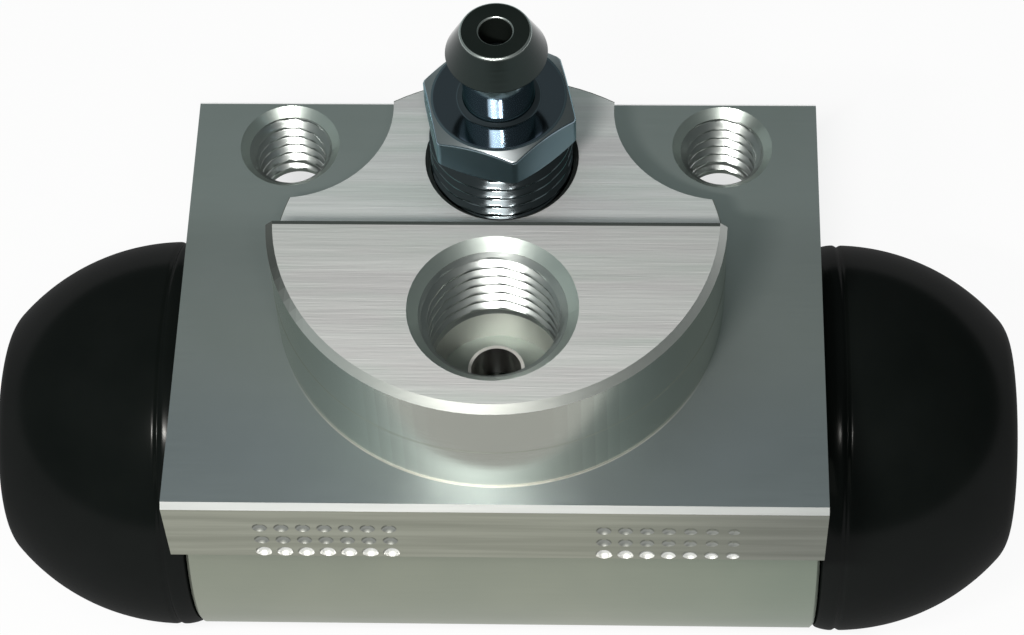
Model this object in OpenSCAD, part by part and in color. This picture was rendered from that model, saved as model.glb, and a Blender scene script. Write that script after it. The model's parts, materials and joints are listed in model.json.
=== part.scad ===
// Hydraulic wheel cylinder for a drum brake: two opposed pistons in a machined aluminium housing.
// The origin is the centre of the pilot boss on the mounting face.
// +Z leaves the mounting face, and +X runs along the bore.

/* [Mounting plate] */
// Length of the plate along the bore
plate_len = 45; // [42:0.5:60]
// Distance from the boss centre to the plate's front edge
plate_front = 17.45; // [16.5:0.05:22]
// Distance from the boss centre to the plate's back edge
plate_back = 16.95; // [16.5:0.05:22]
// Thickness of the plate
plate_t = 6.6; // [5.5:0.1:8]
// Bevel along the plate's front and back top edges
plate_bevel = 0.4; // [0.2:0.1:1]

/* [Barrel] */
// Diameter of the bore
bore_d = 20.64; // [18:0.02:22.3]
// Wall between the bore and the outside of the barrel
barrel_wall = 3.9; // [3.6:0.1:4.6]
// Depth of the bore axis below the mounting face
bore_drop = 19.2; // [17.5:0.1:24]
// Fillet where the barrel meets the underside of the plate
barrel_fillet = 1.2; // [0.6:0.1:2]
// How far each end of the barrel stands out beyond the plate
barrel_stand = 0.25; // [0:0.05:1]
// Chamfer at the ends of the barrel
barrel_chamfer = 0.2; // [0.1:0.05:0.8]

/* [Pilot boss] */
// Diameter of the boss
boss_d = 31.3; // [30:0.1:33]
// Height of the front part, which holds the inlet port
boss_front_h = 9.7; // [8.5:0.1:12]
// Height of the back part, which holds the bleeder screw
boss_back_h = 4.35; // [3:0.05:6]
// Place of the step between the two parts, from the boss centre
boss_step_y = -0.7; // [-1.2:0.1:1]
// Chamfer round the top of the front part
boss_chamfer = 0.5; // [0.2:0.1:0.8]
// How much the front part is turned down above the pilot ring
boss_relief = 0.02; // [0.01:0.01:0.1]

/* [Mounting holes] */
// Distance between the two mounting holes
mount_pitch = 31.3; // [30:0.1:33]
// Distance of the mounting holes behind the boss centre
mount_y = 12.8; // [12.2:0.1:13.2]
// Thread size of the mounting holes
mount_d = 6; // [5:0.5:6.5]
// Countersink diameter at the mouth of each mounting hole
mount_mouth_d = 7.2; // [6.8:0.1:8]
// Diameter of the spot face round each mounting hole
spot_face_d = 15.6; // [14:0.1:16.4]

/* [Clamp marks] */
// Columns in each of the two groups of marks on the plate's front face
mark_columns = 7; // [3:1:8]
// Rows in each group
mark_rows = 3; // [1:1:3]
// Distance between columns
mark_pitch = 1.47; // [1.4:0.01:1.6]
// Distance between rows
mark_row_pitch = 1.63; // [1.4:0.01:1.8]
// Height of the lowest row above the plate's lower edge
mark_edge = 0.6; // [0.6:0.05:0.8]
// Distance between the middles of the two groups
mark_spread = 23.4; // [20:0.1:24]
// Sideways shift of both groups
mark_shift = 0.12; // [-0.5:0.02:0.5]
// Diameter of the ball that pressed each mark
mark_ball_d = 1.2; // [0.8:0.05:1.3]
// Depth of the lowest row
mark_depth = 0.46; // [0.2:0.02:0.5]
// Depth of the upper rows
mark_upper_depth = 0.3; // [0.1:0.02:0.5]
// Share of the depth that is lost towards the end of the right group
mark_fade = 0.45; // [0:0.05:0.6]

/* [Inlet port] */
// Distance of the port in front of the boss centre
port_y = 7.6; // [7:0.1:8.2]
// Thread size of the port
port_d = 10; // [8:0.5:10]
// Countersink diameter at the mouth of the port
port_mouth_d = 11.46; // [10.8:0.02:12]
// Depth of the thread below the boss
port_thread_depth = 7.5; // [6:0.1:8]
// Depth of the drilled floor below the boss
port_floor_depth = 10.3; // [9.6:0.1:11]
// Diameter of the drill that was tapped
port_drill_d = 8.92; // [7.4:0.02:9.2]
// Height of the flare seat above the drilled floor
port_seat_h = 2.6; // [1.5:0.1:3]
// Diameter of the flat top of the flare seat
port_seat_d = 3.9; // [3.7:0.1:4.4]
// Diameter of the feed hole from the port to the bore
feed_d = 3.44; // [2.4:0.02:3.6]

/* [Bleeder screw] */
// Distance of the bleeder screw behind the boss centre
bleeder_y = 8.6; // [7:0.1:9]
// Thread size of the bleeder screw
bleeder_d = 10; // [8:0.5:10]
// Countersink diameter at the mouth of its hole
bleeder_mouth_d = 10.84; // [10.6:0.02:11.4]
// Depth of the tapped hole below the back part of the boss
bleeder_hole_depth = 9; // [7:0.1:11]
// Height of the hexagon above the back part of the boss
bleeder_stand = 3.95; // [2:0.05:6]
// Width across the flats of the hexagon
hex_flats = 9.7; // [8:0.1:11]
// Height of the hexagon
hex_h = 3.2; // [2:0.1:5]
// Diameter of the flat land on top of the hexagon
hex_land_d = 9.2; // [8:0.1:9.6]
// Turn of the hexagon's first corner from +X
hex_turn = 42.5; // [0:0.5:60]
// Diameter of the neck under the nipple
neck_d = 4.9; // [4:0.1:6]
// Length of the neck
neck_len = 3.6; // [2:0.1:8]
// Height of the flare between the hexagon and the neck
flare_h = 0.5; // [0.2:0.1:1]
// Diameter of the flare where it meets the hexagon
flare_d = 6.8; // [6.2:0.1:7.6]
// Diameter of the nipple's barb
barb_d = 6.94; // [6.2:0.02:8]
// Height of the barb's underside
barb_under_h = 0.65; // [0.4:0.05:1.5]
// Height of the barb from its widest ring to its top
barb_h = 2.35; // [1.4:0.05:3]
// Diameter of the nipple's flat top
nipple_top_d = 4.94; // [4:0.02:5.6]
// Diameter of the drilled bleed channel
channel_d = 2.26; // [1.4:0.02:2.6]
// Diameter of the cross hole above the tip
cross_hole_d = 1.8; // [1.2:0.1:2.4]
// Diameter of the flat end of the tip
tip_d = 2.6; // [1.5:0.1:2.8]
// Half angle of the seat cone and of the tip
seat_angle = 45; // [40:1:50]
// Chamfer at both ends of the thread
bleeder_chamfer = 0.6; // [0.3:0.1:1]

/* [Pistons] */
// Length of the guiding skirt
skirt_len = 13; // [10:0.5:15]
// Diameter of the nose that reaches out through the boot
nose_d = 10; // [9:0.1:11.4]
// Diameter of the push rod socket
socket_d = 6; // [4:0.1:6.6]
// Depth of the push rod socket
socket_depth = 9; // [6:0.5:12]
// Chamfer at the piston's ends
piston_chamfer = 0.6; // [0.3:0.1:1]
// Fillet between the skirt and the nose
nose_fillet = 2; // [1:0.1:3]
// How far the nose stops short of the boot's face
nose_recess = 0.4; // [0:0.1:1]

/* [Cup seals and expanders] */
// Thickness of the cup's base
cup_base_t = 1.9; // [1.5:0.1:3]
// Length of the cup's lip beyond its base
cup_lip_len = 2.3; // [1.8:0.1:3]
// Thickness of the cup's lip at its edge
cup_lip_t = 0.9; // [0.6:0.1:1.2]
// Thickness of the cup's lip at its root
cup_root_t = 2.3; // [2:0.1:2.6]
// Sheet thickness of the expander
expander_t = 0.6; // [0.4:0.05:0.8]
// Height of the expander's flared rim
expander_rim_h = 1.2; // [0.8:0.1:1.6]
// Flare of the expander's rim
expander_flare = 0.8; // [0.4:0.1:1]

/* [Return spring] */
// Length of the fitted spring
spring_len = 14.2; // [12:0.1:16]
// Outer diameter of the spring
spring_d = 11.6; // [10:0.1:12]
// Diameter of the spring wire
wire_d = 1.1; // [0.8:0.05:1.3]
// Number of turns
spring_turns = 6; // [5:0.5:7]

/* [Boots] */
// Height of the boot above the end of the barrel
boot_len = 14.5; // [13:0.1:17]
// How far the boot stands out beyond the barrel
boot_proud = 0.18; // [0.1:0.02:0.8]
// Thickness of the boot's wall
boot_wall = 1.7; // [1.2:0.1:1.9]
// Diameter of the flat nose of the dome
dome_flat_d = 13.8; // [12:0.1:15]
// Height at which the dome starts to curve in
dome_start = 1.6; // [1:0.1:3]
// Rounding of the dome's nose corner
dome_corner_r = 3.2; // [2.2:0.1:3.6]
// Thickness of the rim bead that lies on the housing
rim_t = 1.75; // [1.4:0.05:1.9]
// Radius of the groove between the rim bead and the dome
rim_groove_r = 0.2; // [0.1:0.05:0.45]
// Depth of the boot's lip in the housing
lip_len = 2.2; // [1.8:0.1:2.4]
// Thickness of the boot's lip
lip_t = 1.3; // [1.2:0.1:1.4]
// Radius of the snap bead round the lip
snap_r = 0.5; // [0.3:0.05:0.6]

/* [Fits] */
// Lift of the bleeder's tip off its seat cone
tip_lift = 0.15; // [0.1:0.01:0.3]
// Radial clearance of the pistons and cups in the bore
bore_clear = 0.04; // [0.02:0.01:0.08]
// Radial clearance of the bleeder thread in its hole
thread_clear = 0.05; // [0.02:0.01:0.09]
// Clearance of rubber against the metal round it
rubber_clear = 0.1; // [0.05:0.01:0.15]
// Clearance of the boot's lip round the piston's skirt
skirt_clear = 0.32; // [0.25:0.01:0.4]

/* [Hidden] */
$fn = 96;

// Overlap of cutting tools past the faces they open
cut = 1;
half_len = plate_len / 2;
barrel_half = half_len + barrel_stand;
bore_r = bore_d / 2;
barrel_r = bore_r + barrel_wall;
boss_r = boss_d / 2;

// Boot lip and the recess that holds it
lip_r = bore_r - bore_clear + skirt_clear;
recess_r = lip_r + lip_t + rubber_clear;
recess_depth = lip_len + 2 * rubber_clear;
snap_depth = lip_len - 1.5 * snap_r;
boot_r = barrel_r + boot_proud;

// Dome of the boot: one long curve that starts upright at dome_start and runs into the nose corner.
// The corner's circle stands out by corner_cross, so that the two curves cross and don't just touch.
corner_cross = 0.005;
dome_reach = dome_corner_r - corner_cross;
dome_corner_x = dome_flat_d / 2;
dome_corner_y = boot_len - dome_corner_r;
dome_in = boot_r - dome_corner_x;
dome_rise = dome_corner_y - dome_start;
dome_r = (pow(dome_in, 2) + pow(dome_rise, 2) - pow(dome_reach, 2)) / 2 / (dome_in - dome_reach);

// Places along the bore, counted outwards from the middle of the housing
expander_x = spring_len / 2;
cup_x = expander_x + expander_t;
piston_x = cup_x + cup_base_t;
nose_x = barrel_half + boot_len - nose_recess;

// Sizes of the sliding pieces
piston_r = bore_r - bore_clear;
cup_floor_r = piston_r - cup_root_t;
expander_r = cup_floor_r - rubber_clear;

// Heights of the bleeder screw
hex_z = boss_back_h + bleeder_stand;
flare_z = hex_z + hex_h;
neck_z = flare_z + flare_h;
barb_z = neck_z + neck_len;
ring_z = barb_z + barb_under_h;
nipple_z = ring_z + barb_h;
bleeder_r = bleeder_d / 2;
bleeder_hole_r = bleeder_r + thread_clear;
bleeder_floor_z = boss_back_h - bleeder_hole_depth;
hex_r = hex_flats / 2 / cos(30);
hex_chamfer_slope = tan(30);

// Heights of the inlet port
port_floor_z = boss_front_h - port_floor_depth;
port_thread_z = boss_front_h - port_thread_depth;
port_seat_z = port_floor_z + port_seat_h;

// Turns a shape that was made along +Z to run along the bore, outwards on the given side
module along_bore(side) {
  translate([0, 0, -bore_drop]) rotate([0, side * 90, 0]) children();
}

// Revolves a section drawn as radius and height
module turned() {
  rotate_extrude() children();
}

// Hole with a countersunk mouth at height z
module countersunk_hole(d, mouth_d, z, depth) {
  lead = (mouth_d - d) / 2;
  translate([0, 0, z - depth]) cylinder(d = d, h = depth + cut);
  translate([0, 0, z - lead]) cylinder(d1 = d, d2 = mouth_d, h = lead);
  translate([0, 0, z]) cylinder(d = mouth_d, h = cut);
}

// Housing

// Plate section in the plane across the bore, with its bevelled top edges
module plate_section() {
  polygon([
    [-plate_front, -plate_t],
    [plate_back, -plate_t],
    [plate_back, -plate_bevel],
    [plate_back - plate_bevel, 0],
    [plate_bevel - plate_front, 0],
    [-plate_front, -plate_bevel]
  ]);
}

// Filled corners between the plate and the barrel
module fillet_section() {
  dz = bore_drop - plate_t - barrel_fillet;
  dy = sqrt(pow(barrel_r + barrel_fillet, 2) - dz * dz);
  tangent_z = dz * barrel_r / (barrel_r + barrel_fillet) - bore_drop;
  difference() {
    translate([-dy, tangent_z]) square([2 * dy, -tangent_z - plate_t / 2]);
    for (side = [-1, 1]) {
      translate([side * dy, -plate_t - barrel_fillet]) circle(r = barrel_fillet);
    }
  }
}

module housing_section() {
  plate_section();
  fillet_section();
}

module barrel() {
  along_bore(1) turned() polygon([
    [0, -barrel_half],
    [barrel_r - barrel_chamfer, -barrel_half],
    [barrel_r, barrel_chamfer - barrel_half],
    [barrel_r, barrel_half - barrel_chamfer],
    [barrel_r - barrel_chamfer, barrel_half],
    [0, barrel_half]
  ]);
}

// Round boss: a low pilot ring, and a higher front part on it that ends at the step
module pilot_boss() {
  front_r = boss_r - boss_relief;
  difference() {
    union() {
      cylinder(r = boss_r, h = boss_back_h);
      intersection() {
        turned() polygon([
          [0, 0],
          [front_r, 0],
          [front_r, boss_front_h - boss_chamfer],
          [front_r - boss_chamfer, boss_front_h],
          [0, boss_front_h]
        ]);
        translate([-boss_r - cut, boss_step_y - 2 * boss_r, 0])
          cube([2 * (boss_r + cut), 2 * boss_r, boss_front_h + cut]);
      }
    }
    for (side = [-1, 1]) {
      translate([side * mount_pitch / 2, mount_y, 0]) cylinder(d = spot_face_d, h = boss_front_h + cut);
    }
  }
}

// Tapped port with a raised flare seat in its floor, and the feed hole to the bore
module inlet_port() {
  countersunk_hole(port_d, port_mouth_d, boss_front_h, port_thread_depth);
  difference() {
    translate([0, 0, port_floor_z]) cylinder(d = port_drill_d, h = port_thread_z - port_floor_z + cut);
    translate([0, 0, port_floor_z]) cylinder(d1 = port_drill_d, d2 = port_seat_d, h = port_seat_h);
  }
  translate([0, 0, -bore_drop]) cylinder(d = feed_d, h = bore_drop + port_seat_z + cut);
}

// Tapped hole for the bleeder screw, with its seat cone and the passage to the bore
module bleeder_hole() {
  seat_h = (bleeder_hole_r - tip_d / 2) / tan(seat_angle);
  countersunk_hole(2 * bleeder_hole_r, bleeder_mouth_d, boss_back_h, bleeder_hole_depth);
  translate([0, 0, bleeder_floor_z - seat_h]) cylinder(r1 = tip_d / 2, r2 = bleeder_hole_r, h = seat_h);
  translate([0, 0, -bore_drop]) cylinder(d = tip_d, h = bore_drop + bleeder_floor_z);
}

// Recess in each end of the housing, with the groove that the boot's lip snaps into
module boot_recess() {
  translate([0, 0, barrel_half - recess_depth]) cylinder(r = recess_r, h = recess_depth + cut);
  translate([0, 0, barrel_half - snap_depth]) turned()
    translate([recess_r - rubber_clear, 0]) circle(r = snap_r + rubber_clear);
}

// Two groups of round dents that a clamp left on the plate's front face
module clamp_marks() {
  ball_r = mark_ball_d / 2;
  for (side = [-1, 1], column = [0 : mark_columns - 1], row = [0 : mark_rows - 1]) {
    along = column / (mark_columns - 1);
    full_depth = row == 0 ? mark_depth : mark_upper_depth;
    depth = side < 0 ? full_depth : full_depth * (1 - mark_fade * along);
    translate([
      side * mark_spread / 2 + mark_shift + (along - 0.5) * (mark_columns - 1) * mark_pitch,
      -plate_front - ball_r + depth,
      mark_edge - plate_t + row * mark_row_pitch
    ]) sphere(r = ball_r);
  }
}

module cylinder_body() {
  color("silver") difference() {
    union() {
      translate([-half_len, 0, 0]) rotate([90, 0, 90]) linear_extrude(plate_len) housing_section();
      barrel();
      pilot_boss();
    }
    along_bore(1) translate([0, 0, -barrel_half - cut]) cylinder(d = bore_d, h = 2 * (barrel_half + cut));
    for (side = [-1, 1]) {
      along_bore(side) boot_recess();
      translate([side * mount_pitch / 2, mount_y, 0])
        countersunk_hole(mount_d, mount_mouth_d, 0, plate_t + barrel_fillet);
    }
    translate([0, -port_y, 0]) inlet_port();
    translate([0, bleeder_y, 0]) bleeder_hole();
    clamp_marks();
  }
}

// Bleeder screw

// Turned outline, from the tip on its seat, through the hexagon, to the top of the nipple
module bleeder_section() {
  tip_z = bleeder_floor_z - (bleeder_hole_r - tip_d / 2) / tan(seat_angle) + tip_lift;
  tip_h = (bleeder_r - bleeder_chamfer - tip_d / 2) / tan(seat_angle);
  polygon([
    [0, tip_z],
    [tip_d / 2, tip_z],
    [bleeder_r - bleeder_chamfer, tip_z + tip_h],
    [bleeder_r, tip_z + tip_h + bleeder_chamfer],
    [bleeder_r, hex_z - bleeder_chamfer / 2],
    [bleeder_r - bleeder_chamfer, hex_z + bleeder_chamfer / 2],
    [flare_d / 2, hex_z + bleeder_chamfer / 2],
    [flare_d / 2, flare_z],
    [neck_d / 2, neck_z],
    [neck_d / 2, barb_z],
    [barb_d / 2, ring_z],
    [nipple_top_d / 2, nipple_z],
    [0, nipple_z]
  ]);
}

module hexagon() {
  intersection() {
    rotate([0, 0, hex_turn]) translate([0, 0, hex_z]) cylinder(r = hex_r, h = hex_h, $fn = 6);
    translate([0, 0, hex_z]) turned() polygon([
      [0, 0],
      [hex_r, 0],
      [hex_r, hex_h - (hex_r - hex_land_d / 2) * hex_chamfer_slope],
      [hex_land_d / 2, hex_h],
      [0, hex_h]
    ]);
  }
}

module bleeder_screw() {
  cross_z = bleeder_floor_z + 1.5 * cross_hole_d;
  color("slategray") translate([0, bleeder_y, 0]) difference() {
    union() {
      turned() bleeder_section();
      hexagon();
    }
    translate([0, 0, cross_z]) cylinder(d = channel_d, h = nipple_z - cross_z + cut);
    translate([-bleeder_r - cut, 0, cross_z]) rotate([0, 90, 0])
      cylinder(d = cross_hole_d, h = 2 * (bleeder_r + cut));
  }
}

// Pieces in the bore

module piston(side) {
  skirt_end = piston_x + skirt_len;
  nose_r = nose_d / 2;
  color("gainsboro") along_bore(side) difference() {
    turned() difference() {
      polygon([
        [0, piston_x],
        [piston_r - piston_chamfer, piston_x],
        [piston_r, piston_x + piston_chamfer],
        [piston_r, skirt_end - piston_chamfer],
        [piston_r - piston_chamfer, skirt_end],
        [nose_r + nose_fillet, skirt_end],
        [nose_r + nose_fillet, skirt_end + nose_fillet],
        [nose_r, skirt_end + nose_fillet],
        [nose_r, nose_x - piston_chamfer],
        [nose_r - piston_chamfer, nose_x],
        [0, nose_x]
      ]);
      translate([nose_r + nose_fillet, skirt_end + nose_fillet]) circle(r = nose_fillet);
    }
    translate([0, 0, nose_x - socket_depth]) cylinder(d = socket_d, h = socket_depth + cut);
    translate([0, 0, nose_x - socket_depth - socket_d / 4]) cylinder(d1 = 0, d2 = socket_d, h = socket_d / 4);
  }
}

module cup_seal(side) {
  color("dimgray") along_bore(side) turned() polygon([
    [0, piston_x],
    [piston_r - piston_chamfer, piston_x],
    [piston_r, piston_x - piston_chamfer],
    [piston_r, cup_x - cup_lip_len],
    [piston_r - cup_lip_t, cup_x - cup_lip_len],
    [cup_floor_r, cup_x],
    [0, cup_x]
  ]);
}

module cup_expander(side) {
  color("lightsteelblue") along_bore(side) turned() polygon([
    [0, cup_x],
    [expander_r, cup_x],
    [expander_r + expander_flare, cup_x - expander_t - expander_rim_h],
    [expander_r + expander_flare - expander_t, cup_x - expander_t - expander_rim_h],
    [expander_r - expander_t, expander_x],
    [0, expander_x]
  ]);
}

// Place of the spring's centre line along the bore after a number of turns, with a closed coil at each end
function spring_x(turn) =
  let (
    run = spring_len - wire_d,
    middle_pitch = (run - 2 * wire_d) / (spring_turns - 2),
    from_start = turn < 1 ? wire_d * turn
      : turn > spring_turns - 1 ? run - wire_d * (spring_turns - turn)
      : wire_d + middle_pitch * (turn - 1)
  )
  from_start - run / 2;

// Ring of points round the wire after a number of turns
function wire_ring(turn, sides) =
  let (a = 360 * turn, r = (spring_d - wire_d) / 2)
  [
    for (i = [0 : sides - 1])
      let (b = 360 * i / sides, reach = r + wire_d / 2 * cos(b))
      [spring_x(turn) + wire_d / 2 * sin(b), reach * cos(a), reach * sin(a)]
  ];

module return_spring() {
  sides = 8;
  per_turn = 20;
  rings = spring_turns * per_turn;
  points = [for (k = [0 : rings]) each wire_ring(k / per_turn, sides)];
  walls = [
    for (k = [0 : rings - 1], i = [0 : sides - 1])
      let (j = (i + 1) % sides)
      [k * sides + i, k * sides + j, (k + 1) * sides + j, (k + 1) * sides + i]
  ];
  first_end = [[for (i = [sides - 1 : -1 : 0]) i]];
  last_end = [[for (i = [0 : sides - 1]) rings * sides + i]];
  color("steelblue") translate([0, 0, -bore_drop])
    polyhedron(points = points, faces = concat(walls, first_end, last_end));
}

// Boots

// Dome section from the axis to the outside, set in by the given thickness
module dome_section(inset) {
  centre_r = boot_r - dome_r;
  intersection() {
    translate([centre_r, dome_start]) circle(r = dome_r - inset);
    translate([centre_r, dome_start])
      polygon([[0, 0], [2 * dome_r, 0], [2 * (dome_corner_x - centre_r), 2 * dome_rise]]);
    square([boot_r, boot_len]);
  }
  translate([dome_corner_x, dome_corner_y]) circle(r = dome_corner_r - inset);
  square([dome_corner_x, boot_len - inset]);
  square([boot_r - inset, dome_start]);
}

// Rim bead with rounded edges, and the groove that parts it from the dome
module rim_section() {
  bead_r = (rim_t - rubber_clear) / 2;
  difference() {
    dome_section(0);
    square([boot_r + cut, rim_t]);
    translate([boot_r, rim_t + rim_groove_r / 2]) circle(r = rim_groove_r);
  }
  translate([boot_r - bead_r, rubber_clear + bead_r]) circle(r = bead_r);
  translate([0, rubber_clear]) square([boot_r - bead_r, 2 * bead_r]);
}

module lip_section() {
  translate([lip_r, -lip_len]) square([lip_t, lip_len + rim_t]);
  translate([lip_r + lip_t, -snap_depth]) circle(r = snap_r);
}

module boot(side) {
  color("#1c1e1e") along_bore(side) translate([0, 0, barrel_half]) turned() {
    difference() {
      rim_section();
      intersection() {
        dome_section(boot_wall);
        translate([0, boot_wall]) square([boot_r, boot_len]);
      }
      square([lip_r, boot_wall + cut]);
      square([nose_d / 2 + rubber_clear, boot_len + cut]);
    }
    lip_section();
  }
}

cylinder_body();
bleeder_screw();
boot(-1);  // left_boot
boot(1);  // right_boot
piston(-1);  // left_piston
piston(1);  // right_piston
cup_seal(-1);  // left_cup_seal
cup_seal(1);  // right_cup_seal
cup_expander(-1);  // left_cup_expander
cup_expander(1);  // right_cup_expander
return_spring();
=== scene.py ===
"""Drum brake wheel cylinder: finishes, threads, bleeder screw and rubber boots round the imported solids."""
import json
import math
from types import SimpleNamespace

import bmesh
import bpy
import numpy as np
from mathutils import Matrix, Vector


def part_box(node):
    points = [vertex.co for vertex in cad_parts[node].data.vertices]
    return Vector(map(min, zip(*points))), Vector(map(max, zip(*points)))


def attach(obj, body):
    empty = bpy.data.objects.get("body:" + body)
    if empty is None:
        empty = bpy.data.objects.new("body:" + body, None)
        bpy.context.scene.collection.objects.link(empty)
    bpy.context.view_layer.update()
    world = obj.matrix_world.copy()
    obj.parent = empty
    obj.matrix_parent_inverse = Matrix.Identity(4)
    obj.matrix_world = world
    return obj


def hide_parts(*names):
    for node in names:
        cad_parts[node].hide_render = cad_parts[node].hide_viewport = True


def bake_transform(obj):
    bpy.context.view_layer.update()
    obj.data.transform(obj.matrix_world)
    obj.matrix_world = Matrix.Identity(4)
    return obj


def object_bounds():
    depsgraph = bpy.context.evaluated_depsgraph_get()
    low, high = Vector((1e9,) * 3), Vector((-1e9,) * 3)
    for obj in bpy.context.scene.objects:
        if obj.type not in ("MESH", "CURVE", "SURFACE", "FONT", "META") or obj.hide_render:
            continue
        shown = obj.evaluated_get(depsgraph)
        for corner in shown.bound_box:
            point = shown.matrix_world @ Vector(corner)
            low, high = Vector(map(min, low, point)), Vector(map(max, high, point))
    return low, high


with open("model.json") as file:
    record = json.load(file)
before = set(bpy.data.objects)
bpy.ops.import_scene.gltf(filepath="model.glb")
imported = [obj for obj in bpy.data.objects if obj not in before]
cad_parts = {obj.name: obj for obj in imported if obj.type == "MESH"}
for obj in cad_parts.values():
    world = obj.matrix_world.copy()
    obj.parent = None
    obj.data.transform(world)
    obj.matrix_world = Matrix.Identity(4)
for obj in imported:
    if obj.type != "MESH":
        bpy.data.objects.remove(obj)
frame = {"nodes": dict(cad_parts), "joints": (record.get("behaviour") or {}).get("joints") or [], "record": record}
cad_low, cad_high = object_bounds()
mounts = {m["name"]: m for m in frame["record"]["mounts"]}
joints = {j["name"]: j for j in frame["joints"]}

# Sizes are in millimetres and angles in degrees. Meshes are scaled to metres when they are made
MM = 0.001

# Housing
HALF_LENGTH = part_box("cylinder_body")[1].x / MM
BORE_Z = mounts["left_push_rod_socket"]["pos_m"][2] / MM
PLATE_THICKNESS = 6.6
PLATE_FRONT, PLATE_BACK = cad_low.y / MM, cad_high.y / MM
BOSS_RADIUS = mounts["pilot_boss"]["dims"]["r_mm"]
BOSS_HIGH, BOSS_LOW = 9.7, 4.35
BOSS_STEP = -0.7
LOWEST_DENTS = -5.2

# Threads
PITCH = 1.0
THREAD_DEPTH = 0.54
CREST_SHARE, ROOT_SHARE = 0.16, 0.86
RUN_OUT_SLOPE = 0.5
SLEEVE_GAP = 0.005
STEPS_PER_PITCH = 14
TAPPED_STEPS = 144
PORT_X, PORT_Y = (value / MM for value in mounts["inlet_port"]["pos_m"][:2])
PORT_RADIUS = mounts["inlet_port"]["dims"]["r_mm"]
PORT_LOW, PORT_HIGH = 2.2, 8.97
BOLT_Y = mounts["mounting_bolts"]["pos_m"][1] / MM
BOLT_SPREAD = mounts["mounting_bolts"]["dims"]["spacing_x_mm"]
BOLT_RADIUS = mounts["mounting_bolts"]["dims"]["hole_r_mm"]
BOLT_LOW, BOLT_HIGH = -PLATE_THICKNESS, -0.6

# Bleeder screw
SCREW_STEPS = 240
BLEEDER_X, BLEEDER_Y = (value / MM for value in joints["bleeder_turn"]["pos_m"][:2])
BLEEDER_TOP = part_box("bleeder_screw")[1].z / MM
BLEEDER_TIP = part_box("bleeder_screw")[0].z / MM
BLEEDER_RADIUS = 5.0
TIP_RADIUS = 1.3
THREAD_CHAMFER, THREAD_END = 0.6, 0.1
HEX_LOW, HEX_HIGH = 8.3, 11.5
HEX_FLATS, HEX_TURN = 9.7, 42.5
HEX_LAND, HEX_SLOPE = 4.6, 30.0
HEX_EDGE = 0.08
BEVEL_SHARES, CONE_SHARES = (0.08, 0.92), (0.04, 0.96)
FLARE_RADIUS, FLARE_HEIGHT = 2.9, 0.5
FLARE_EDGE, FLARE_RISE = 0.2, 0.08
FILLET_WIDTH, FILLET_RISE = 0.06, 0.2
NECK_RADIUS, NECK_LENGTH = 2.45, 3.6
NECK_TOP = HEX_HIGH + FLARE_HEIGHT + NECK_LENGTH
NECK_MARGIN, NECK_RING = 0.15, 0.05
BARB_RADIUS, BARB_UNDER = 3.47, 0.65
BARB_START = (0.08, 0.02)
BARB_EDGE = ((-0.12, -0.1), (-0.02, 0.0), (0.0, 0.1))
NIPPLE_RADIUS, NIPPLE_EDGE, NIPPLE_SLOPE = 2.47, 0.2, 23.0
CHANNEL_RADIUS, CHANNEL_FLOOR, CHANNEL_EDGE = 1.13, -1.95, 0.15
CROSS_HOLE_RADIUS, CROSS_HOLE_STEPS = 0.9, 48

# Boots
BOOT_STEPS = 192
BOOT_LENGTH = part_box("right_boot")[1].x / MM - HALF_LENGTH
BOOT_RADIUS = (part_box("right_boot")[1].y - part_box("right_boot")[0].y) / 2 / MM
BOOT_WALL = 1.7
BOOT_HOLE, BOOT_HOLE_EDGE = 5.1, 0.25
DOME_FLAT, DOME_CORNER, DOME_START = 6.9, 3.2, 1.6
RIM_GAP, RIM_EDGE, RIM_ROUND = 0.1, 0.28, 0.35
RIM_INSET = 0.87 * RIM_ROUND
BEAD_CREST, BEAD_ROUND = 1.45, 3.2
CREASE_HEIGHT, CREASE_DEPTH, CREASE_WIDTH, CREASE_TOP = 1.7, 0.15, 0.18, 2.6
LIP_RADIUS, LIP_THICKNESS, LIP_LENGTH, LIP_BEAD = 10.6, 1.3, 2.2, 0.5

# Return spring
SPRING_LENGTH, SPRING_DIAMETER, WIRE_DIAMETER, SPRING_TURNS = 14.2, 11.6, 1.1, 6
WIRE_STEPS, STEPS_PER_TURN = 12, 40

# Camera, fitted to the photograph
IMAGE_WIDTH = 1024
FOCAL_PIXELS = 3073.344
SENSOR_WIDTH = 36.0
CAMERA_PLACE = (9.211, -119.506, 179.071)
CAMERA_YAW, CAMERA_PITCH, CAMERA_ROLL = 4.066, -56.668, -3.034
CAMERA_NEAR = 10.0

# Light
LAMP_DISTANCE = 130.0
KEY_AZIMUTH, KEY_ELEVATION, KEY_SIZE, KEY_SHARE = -15.0, 53.3, (30.0, 6.0), 0.8
UPPER_AZIMUTH, UPPER_ELEVATION, UPPER_SIZE, UPPER_SHARE = -12.0, 59.5, (60.0, 16.0), 0.1
FILL_AZIMUTH, FILL_ELEVATION, FILL_SIZE, FILL_SHARE = 9.0, 56.0, (10.0, 10.0), 0.13
LAMP_TINT = (1.0, 0.98, 0.93)
SKY_TINT = (0.9, 1.03, 1.0, 1)
SKY_LEFT, SKY_RIGHT = 0.28, 0.1

# Floor, with a painted shadow: the stretch under and behind the object glows less
FLOOR_REACH = 3000.0
FLOOR_GLOW, SHADED_GLOW = 0.95, 0.6
SHADED_SIDES, SHADED_BACK, SHADED_FRONT = (14.0, 30.0), (30.0, 44.0), (-4.0, -10.0)


# Meshes


def arc(centre, radius, start, end, steps):
    """Points on an arc, as radius and height, from one angle in degrees to another."""
    angles = np.radians(np.linspace(start, end, steps + 1))
    return [(centre[0] + radius * math.cos(a), centre[1] + radius * math.sin(a)) for a in angles]


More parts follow.
